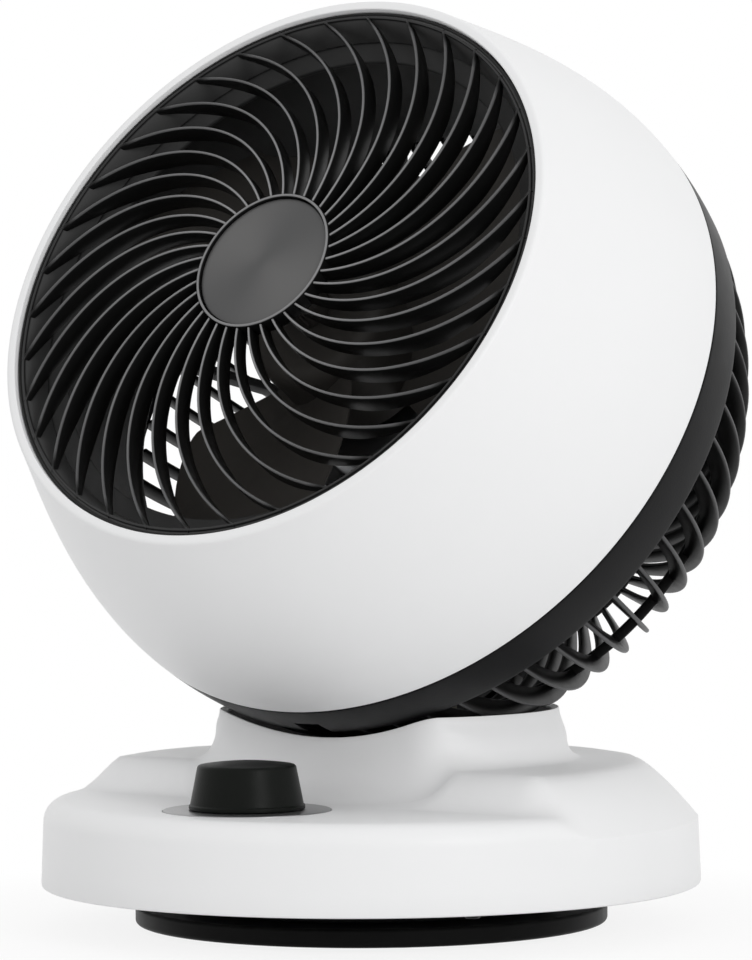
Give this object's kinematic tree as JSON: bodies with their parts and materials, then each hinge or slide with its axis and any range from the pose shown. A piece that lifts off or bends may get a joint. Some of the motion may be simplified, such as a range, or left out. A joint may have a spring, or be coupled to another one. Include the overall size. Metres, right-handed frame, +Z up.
{
  "type": "desk air circulator fan",
  "caption": "Desk air circulator: ball-shaped head with a swirl grille and finned rear guard, tilting in a saddle on a round swivelling base with a speed knob.",
  "frame": {"origin": "on the swivel axis of the base, on the underside of the centre pad, where the fan stands", "axes": "+Z up, -Y is the front that the grille and the knob face, +X to the right of a viewer in front"},
  "size_m": [0.2658, 0.2643, 0.3361],
  "materials": {
    "white_shell": "satin white moulded plastic",
    "black_grille": "satin black moulded plastic with grey edge gloss",
    "fan_black": "glossy black moulded plastic",
    "badge_grey": "satin dark grey disc, bare",
    "foot_black": "glossy black moulded plastic",
    "rubber_black": "matt black rubber",
    "knob_black": "satin black moulded plastic",
    "dial_metal": "dark satin metal disc, bare",
    "liner_black": "matt black plastic",
    "nylon": "natural white sliding plastic",
    "steel": "zinc plated steel",
    "motor_metal": "cast aluminium",
    "core_steel": "laminated steel",
    "copper_wire": "enamelled copper winding",
    "board_green": "green circuit board",
    "capacitor_shell": "cream plastic case",
    "switch_body": "dark plastic body"
  },
  "bodies": {
    "foot": {"foot_plate": "foot_black", "rubber_foot_1": "rubber_black", "rubber_foot_2": "rubber_black", "rubber_foot_3": "rubber_black", "rubber_foot_4": "rubber_black", "centre_pad": "rubber_black", "pivot_post": "steel", "pivot_nut": "steel", "swivel_gear": "nylon"},
    "base": {"base_cover": "white_shell", "base_pan": "white_shell", "slide_ring": "nylon", "saddle_liner": "liner_black", "pan_screw_1": "steel", "pan_screw_2": "steel", "pan_screw_3": "steel", "pan_screw_4": "steel", "swing_motor": "motor_metal", "swing_motor_screw_1": "steel", "swing_motor_screw_2": "steel", "control_board": "board_green", "run_capacitor": "capacitor_shell", "ballast_plate": "core_steel", "cord_gland": "liner_black", "rotary_switch": "switch_body", "dial_plate": "dial_metal", "clamp_shoe": "nylon", "clamp_bolt": "steel", "disc_spring": "steel", "clamp_nut": "steel"},
    "pinion": {"swing_pinion": "nylon"},
    "knob": {"speed_knob": "knob_black", "switch_shaft": "steel"},
    "head": {"front_shell": "white_shell", "front_grille": "black_grille", "badge_disc": "badge_grey", "air_duct": "black_grille", "rear_guard": "black_grille", "rear_cap": "black_grille", "tilt_track": "liner_black", "motor_front_case": "motor_metal", "motor_rear_case": "motor_metal", "front_bearing": "steel", "rear_bearing": "steel", "stator_core": "core_steel", "front_winding": "copper_wire", "rear_winding": "copper_wire", "motor_screw_1": "steel", "motor_screw_2": "steel", "motor_screw_3": "steel", "shell_screw_1": "steel", "shell_screw_2": "steel", "shell_screw_3": "steel", "shell_screw_4": "steel"},
    "wheel": {"fan_wheel": "fan_black", "wheel_nut": "fan_black", "motor_shaft": "steel", "rotor_core": "core_steel"}
  },
  "joints": [
    {"name": "base_swivel", "type": "hinge", "parent": "foot", "child": "base", "pos_m": [0, 0, 0.0157], "axis": [0, 0, 1], "range_deg": [-40, 40]},
    {"name": "swing_pinion_spin", "type": "hinge", "parent": "base", "child": "pinion", "pos_m": [-0.03144, 0.01815, 0.0278], "axis": [0, 0, 1], "range_deg": [-81, 81]},
    {"name": "speed_knob_turn", "type": "hinge", "parent": "base", "child": "knob", "pos_m": [0, -0.0742, 0.05], "axis": [0, 0, 1], "range_deg": [-135, 135]},
    {"name": "head_tilt", "type": "hinge", "parent": "base", "child": "head", "pos_m": [0, 0.0121, 0.1982], "axis": [-1, 0, 0], "range_deg": [-29.6, 60.4]},
    {"name": "fan_spin", "type": "hinge", "parent": "head", "child": "wheel", "pos_m": [0, 0.0121, 0.1982], "axis": [0, -0.8695, 0.4939], "continuous": true}
  ],
  "couplings": [
    {"joint": "swing_pinion_spin", "follows": "base_swivel", "ratio": 2}
  ]
}
